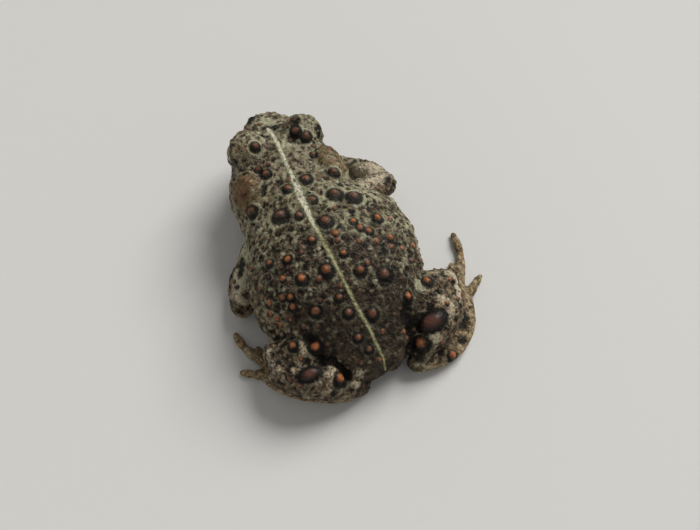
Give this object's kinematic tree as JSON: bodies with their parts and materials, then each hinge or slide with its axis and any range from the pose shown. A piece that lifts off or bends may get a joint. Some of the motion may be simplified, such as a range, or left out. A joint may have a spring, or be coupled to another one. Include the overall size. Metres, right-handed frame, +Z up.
{
  "type": "california toad",
  "caption": "Crouching toad with dry warty skin, raised neck glands, domed eyes, folded hind legs and a pale stripe down its back.",
  "frame": {"origin": "on the floor, under the middle of the toad's overall box", "axes": "the toad faces -Y with its length along Y, +X is its left side, and +Z is up"},
  "size_m": [0.0698, 0.0836, 0.0265],
  "materials": {
    "head_skin": "dry, warty, mottled grey-brown",
    "back_skin": "dry, warty, mottled olive grey-brown",
    "limb_skin": "dry, granular, mottled tan-grey",
    "paw_skin": "dry, fine grain, pinkish tan",
    "eye": "wet gloss"
  },
  "bodies": {
    "root": {"head": "head_skin", "torso": "back_skin", "eye_left": "eye", "eye_right": "eye", "upper_arm_left": "limb_skin", "upper_arm_right": "limb_skin", "forearm_left": "limb_skin", "forearm_right": "limb_skin", "thigh_left": "limb_skin", "thigh_right": "limb_skin", "shank_left": "limb_skin", "shank_right": "limb_skin", "hand_left": "paw_skin", "hand_right": "paw_skin", "foot_left": "paw_skin", "foot_right": "paw_skin"}
  },
  "joints": []
}
